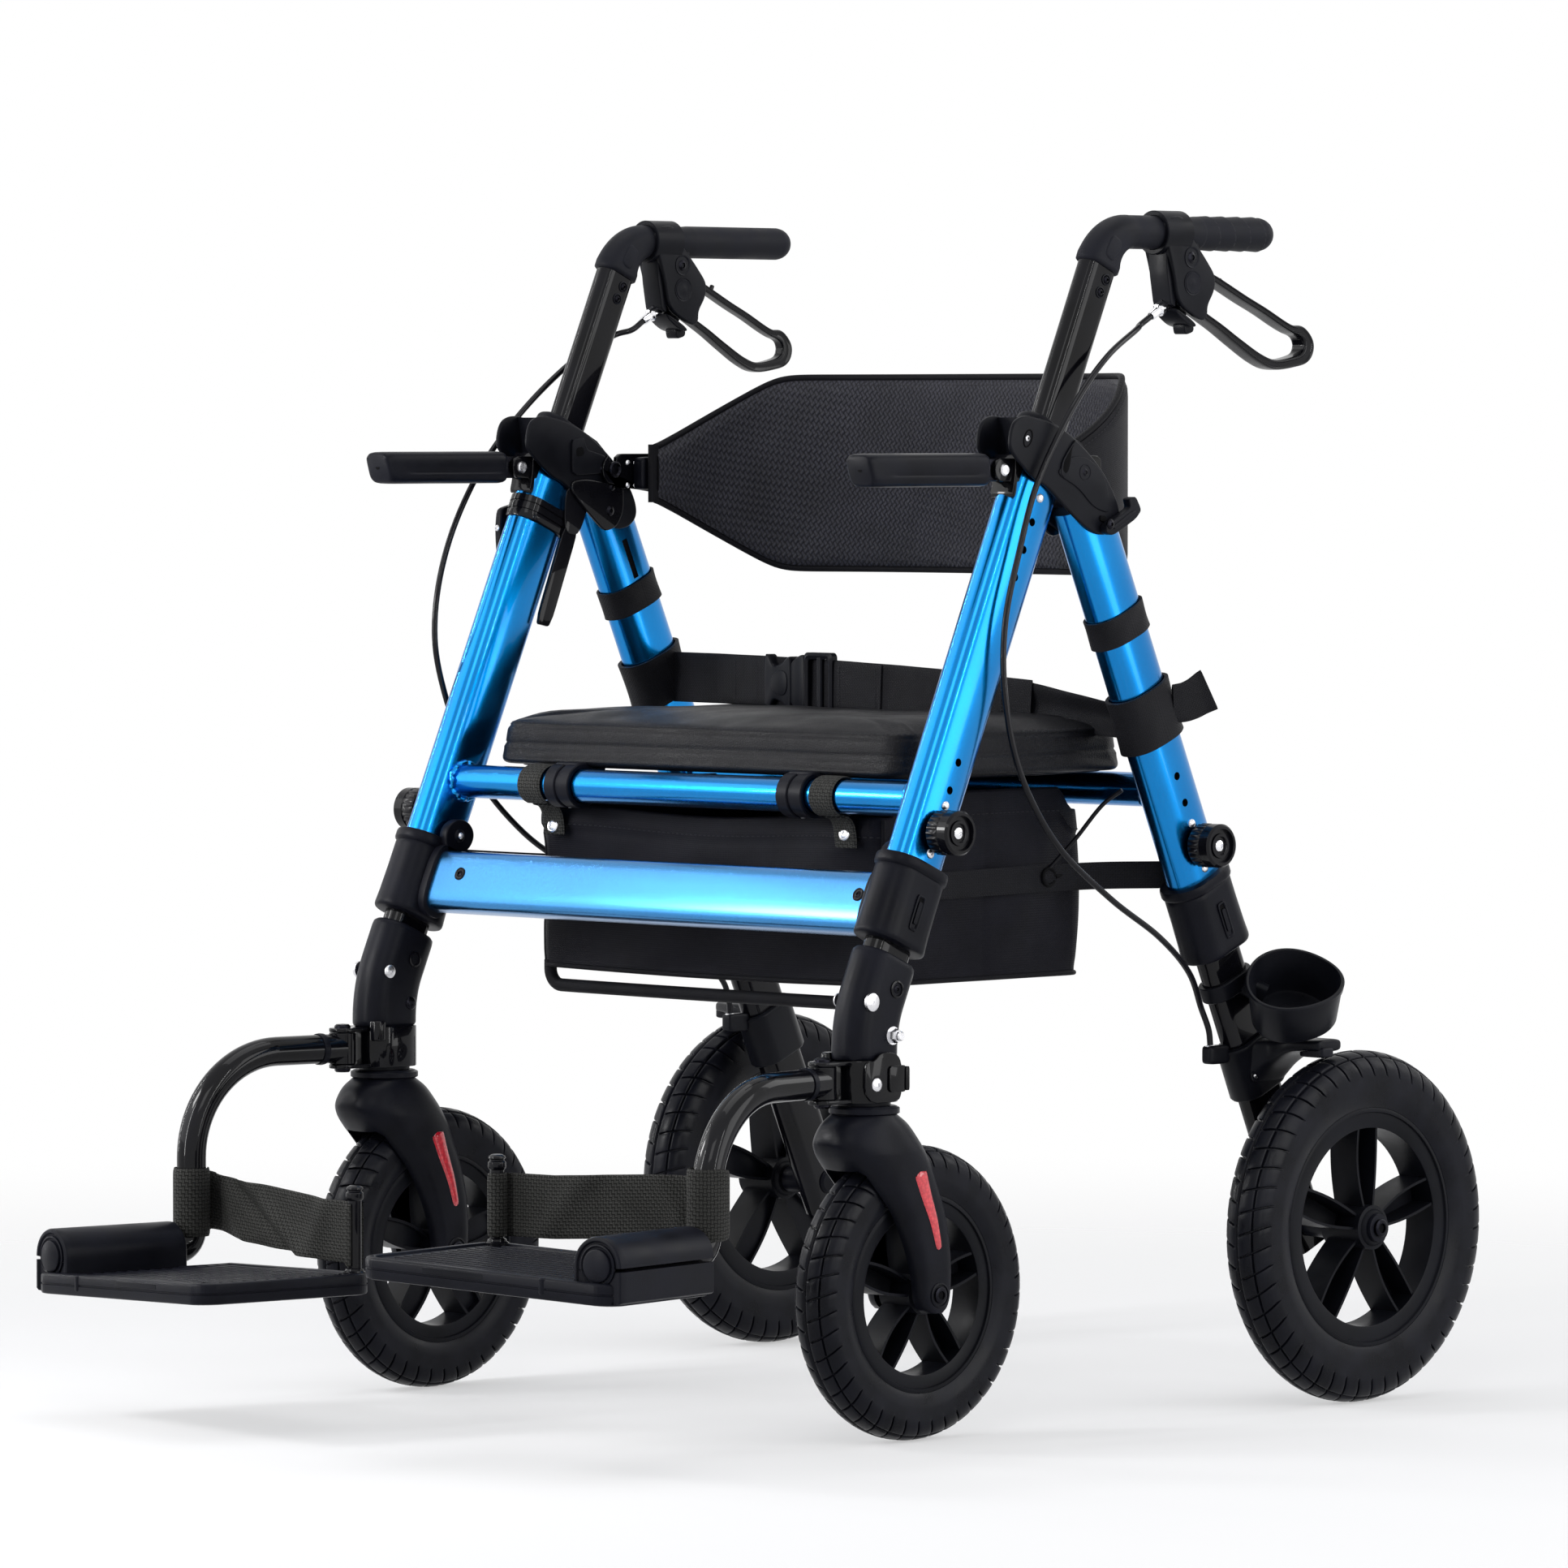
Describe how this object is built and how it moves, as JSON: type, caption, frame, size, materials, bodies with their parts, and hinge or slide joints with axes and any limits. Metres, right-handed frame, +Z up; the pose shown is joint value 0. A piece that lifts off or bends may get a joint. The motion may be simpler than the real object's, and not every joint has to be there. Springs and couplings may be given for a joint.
{
  "type": "rollator transport chair",
  "caption": "Folding four-wheeled walking frame with seat, backrest band, footrests and brakes, which also serves as a light push chair.",
  "frame": {"origin": "on the floor under the middle of the object's bounding box", "axes": "+Z up; the casters and footrests point to -Y, the push handles to +Y; +X is the left of somebody who faces forward"},
  "size_m": [0.6762, 0.9182, 0.8781],
  "materials": {
    "blue_anodised": "blue anodised",
    "gloss_black": "gloss black paint",
    "gloss_plastic": "polished",
    "moulded_black": "fine grain",
    "tyre_rubber": "moulded tread",
    "grip_rubber": "matte",
    "webbing": "woven",
    "leather_black": "pebbled coated fabric over foam",
    "mesh_fabric": "spacer mesh",
    "bag_oxford": "plain weave"
  },
  "bodies": {
    "front_frame": {"front_frame": "blue_anodised", "front_crossbar": "blue_anodised", "upper_bracket_left": "moulded_black", "upper_bracket_right": "moulded_black", "front_sleeve_left": "moulded_black", "front_sleeve_right": "moulded_black", "brake_cable_left": "gloss_plastic", "brake_cable_right": "gloss_plastic", "storage_bag": "bag_oxford"},
    "rear_frame": {"rear_frame": "blue_anodised", "rear_sleeve_left": "moulded_black", "rear_sleeve_right": "moulded_black", "seat_belt": "webbing"},
    "seat": {"seat_cushion": "leather_black", "seat_base": "moulded_black"},
    "backrest": {"backrest_band": "mesh_fabric", "backrest_clip_left": "moulded_black", "backrest_clip_right": "moulded_black"},
    "handle_left": {"handle_tube_left": "gloss_black", "hand_grip_left": "grip_rubber", "brake_housing_left": "moulded_black"},
    "brake_lever_left": {"brake_lever_left": "gloss_plastic"},
    "armrest_left": {"armrest_left": "moulded_black"},
    "front_leg_left": {"front_lower_tube_left": "gloss_black", "caster_housing_left": "moulded_black", "footrest_bracket_left": "gloss_black"},
    "caster_left": {"caster_fork_left": "moulded_black"},
    "front_wheel_left": {"front_tyre_left": "tyre_rubber", "front_rim_left": "moulded_black"},
    "footrest_left": {"footrest_hanger_left": "gloss_black", "heel_strap_left": "webbing"},
    "footplate_left": {"footplate_left": "moulded_black"},
    "rear_leg_left": {"rear_lower_tube_left": "gloss_black", "brake_collar_left": "moulded_black", "cup_holder": "moulded_black"},
    "rear_wheel_left": {"rear_tyre_left": "tyre_rubber", "rear_rim_left": "moulded_black"},
    "front_knob_left": {"front_knob_left": "gloss_plastic"},
    "rear_knob_left": {"rear_knob_left": "gloss_plastic"},
    "handle_right": {"handle_tube_right": "gloss_black", "hand_grip_right": "grip_rubber", "brake_housing_right": "moulded_black"},
    "brake_lever_right": {"brake_lever_right": "gloss_plastic"},
    "armrest_right": {"armrest_right": "moulded_black"},
    "front_leg_right": {"front_lower_tube_right": "gloss_black", "caster_housing_right": "moulded_black", "footrest_bracket_right": "gloss_black"},
    "caster_right": {"caster_fork_right": "moulded_black"},
    "front_wheel_right": {"front_tyre_right": "tyre_rubber", "front_rim_right": "moulded_black"},
    "footrest_right": {"footrest_hanger_right": "gloss_black", "heel_strap_right": "webbing"},
    "footplate_right": {"footplate_right": "moulded_black"},
    "rear_leg_right": {"rear_lower_tube_right": "gloss_black", "brake_collar_right": "moulded_black"},
    "rear_wheel_right": {"rear_tyre_right": "tyre_rubber", "rear_rim_right": "moulded_black"},
    "front_knob_right": {"front_knob_right": "gloss_plastic"},
    "rear_knob_right": {"rear_knob_right": "gloss_plastic"},
    "fold_latch": {"fold_latch": "moulded_black"}
  },
  "joints": [
    {"name": "fold", "type": "hinge", "parent": "front_frame", "child": "rear_frame", "pos_m": [0, 0.09672, 0.655], "axis": [-1, 0, 0], "range_deg": [0, 28], "deforming": ["storage_bag", "brake_cable_left", "brake_cable_right"]},
    {"name": "seat_lift", "type": "hinge", "parent": "front_frame", "child": "seat", "pos_m": [0, -0.06046, 0.455], "axis": [1, 0, 0], "range_deg": [0, 45], "deforming": ["seat_belt"]},
    {"name": "backrest_swing", "type": "hinge", "parent": "front_frame", "child": "backrest", "pos_m": [0, 0.088, 0.688], "axis": [1, 0, 0], "range_deg": [0, 180]},
    {"name": "handle_height_left", "type": "slide", "parent": "front_frame", "child": "handle_left", "axis": [0, 0.4067, 0.9135], "range_m": [-0.066, 0]},
    {"name": "brake_lever_pull_left", "type": "hinge", "parent": "handle_left", "child": "brake_lever_left", "pos_m": [0.252, 0.197, 0.822], "axis": [1, 0, 0], "range_deg": [-15, 15], "stiffness_Nm_per_rad": 4},
    {"name": "armrest_lift_left", "type": "hinge", "parent": "front_frame", "child": "armrest_left", "pos_m": [0.252, 0.00317, 0.69], "axis": [-1, 0, 0], "range_deg": [0, 90]},
    {"name": "front_leg_length_left", "type": "slide", "parent": "front_frame", "child": "front_leg_left", "axis": [0, -0.4067, -0.9135], "range_m": [0, 0.04]},
    {"name": "caster_swivel_left", "type": "hinge", "parent": "front_leg_left", "child": "caster_left", "pos_m": [0.252, -0.12947, 0.2415], "axis": [0, 0, 1], "continuous": true},
    {"name": "front_wheel_roll_left", "type": "hinge", "parent": "caster_left", "child": "front_wheel_left", "pos_m": [0.252, -0.08447, 0.10533], "axis": [1, 0, 0], "continuous": true},
    {"name": "footrest_swing_left", "type": "hinge", "parent": "front_leg_left", "child": "footrest_left", "pos_m": [0.252, -0.17147, 0.259], "axis": [0, 0, 1], "range_deg": [0, 90]},
    {"name": "footplate_flip_left", "type": "hinge", "parent": "footrest_left", "child": "footplate_left", "pos_m": [0.27302, -0.321, 0.148], "axis": [-0.1392, 0.9903, 0], "range_deg": [0, 85], "deforming": ["heel_strap_left"]},
    {"name": "rear_leg_length_left", "type": "slide", "parent": "rear_frame", "child": "rear_leg_left", "axis": [0, 0.4067, -0.9135], "range_m": [0, 0.04]},
    {"name": "rear_wheel_roll_left", "type": "hinge", "parent": "rear_leg_left", "child": "rear_wheel_left", "pos_m": [0.307, 0.33038, 0.13018], "axis": [1, 0, 0], "continuous": true},
    {"name": "front_knob_turn_left", "type": "hinge", "parent": "front_frame", "child": "front_knob_left", "pos_m": [0.252, -0.07026, 0.433], "axis": [1, 0, 0], "continuous": true},
    {"name": "rear_knob_turn_left", "type": "hinge", "parent": "rear_frame", "child": "rear_knob_left", "pos_m": [0.252, 0.20357, 0.415], "axis": [1, 0, 0], "continuous": true},
    {"name": "handle_height_right", "type": "slide", "parent": "front_frame", "child": "handle_right", "axis": [0, 0.4067, 0.9135], "range_m": [-0.066, 0]},
    {"name": "brake_lever_pull_right", "type": "hinge", "parent": "handle_right", "child": "brake_lever_right", "pos_m": [-0.252, 0.169, 0.822], "axis": [1, 0, 0], "range_deg": [-15, 15], "stiffness_Nm_per_rad": 4},
    {"name": "armrest_lift_right", "type": "hinge", "parent": "front_frame", "child": "armrest_right", "pos_m": [-0.252, 0.00317, 0.69], "axis": [-1, 0, 0], "range_deg": [0, 90]},
    {"name": "front_leg_length_right", "type": "slide", "parent": "front_frame", "child": "front_leg_right", "axis": [0, -0.4067, -0.9135], "range_m": [0, 0.04]},
    {"name": "caster_swivel_right", "type": "hinge", "parent": "front_leg_right", "child": "caster_right", "pos_m": [-0.252, -0.12947, 0.2415], "axis": [0, 0, 1], "continuous": true},
    {"name": "front_wheel_roll_right", "type": "hinge", "parent": "caster_right", "child": "front_wheel_right", "pos_m": [-0.252, -0.08447, 0.10533], "axis": [1, 0, 0], "continuous": true},
    {"name": "footrest_swing_right", "type": "hinge", "parent": "front_leg_right", "child": "footrest_right", "pos_m": [-0.252, -0.17147, 0.259], "axis": [0, 0, -1], "range_deg": [0, 90]},
    {"name": "footplate_flip_right", "type": "hinge", "parent": "footrest_right", "child": "footplate_right", "pos_m": [-0.27302, -0.321, 0.117], "axis": [-0.1392, -0.9903, 0], "range_deg": [0, 85], "deforming": ["heel_strap_right"]},
    {"name": "rear_leg_length_right", "type": "slide", "parent": "rear_frame", "child": "rear_leg_right", "axis": [0, 0.4067, -0.9135], "range_m": [0, 0.04]},
    {"name": "rear_wheel_roll_right", "type": "hinge", "parent": "rear_leg_right", "child": "rear_wheel_right", "pos_m": [-0.307, 0.33038, 0.13018], "axis": [1, 0, 0], "continuous": true},
    {"name": "front_knob_turn_right", "type": "hinge", "parent": "front_frame", "child": "front_knob_right", "pos_m": [-0.252, -0.07026, 0.433], "axis": [1, 0, 0], "continuous": true},
    {"name": "rear_knob_turn_right", "type": "hinge", "parent": "rear_frame", "child": "rear_knob_right", "pos_m": [-0.252, 0.20357, 0.415], "axis": [1, 0, 0], "continuous": true},
    {"name": "fold_latch_turn", "type": "hinge", "parent": "front_frame", "child": "fold_latch", "pos_m": [0.2704, 0.09672, 0.655], "axis": [1, 0, 0], "range_deg": [0, 30]}
  ]
}
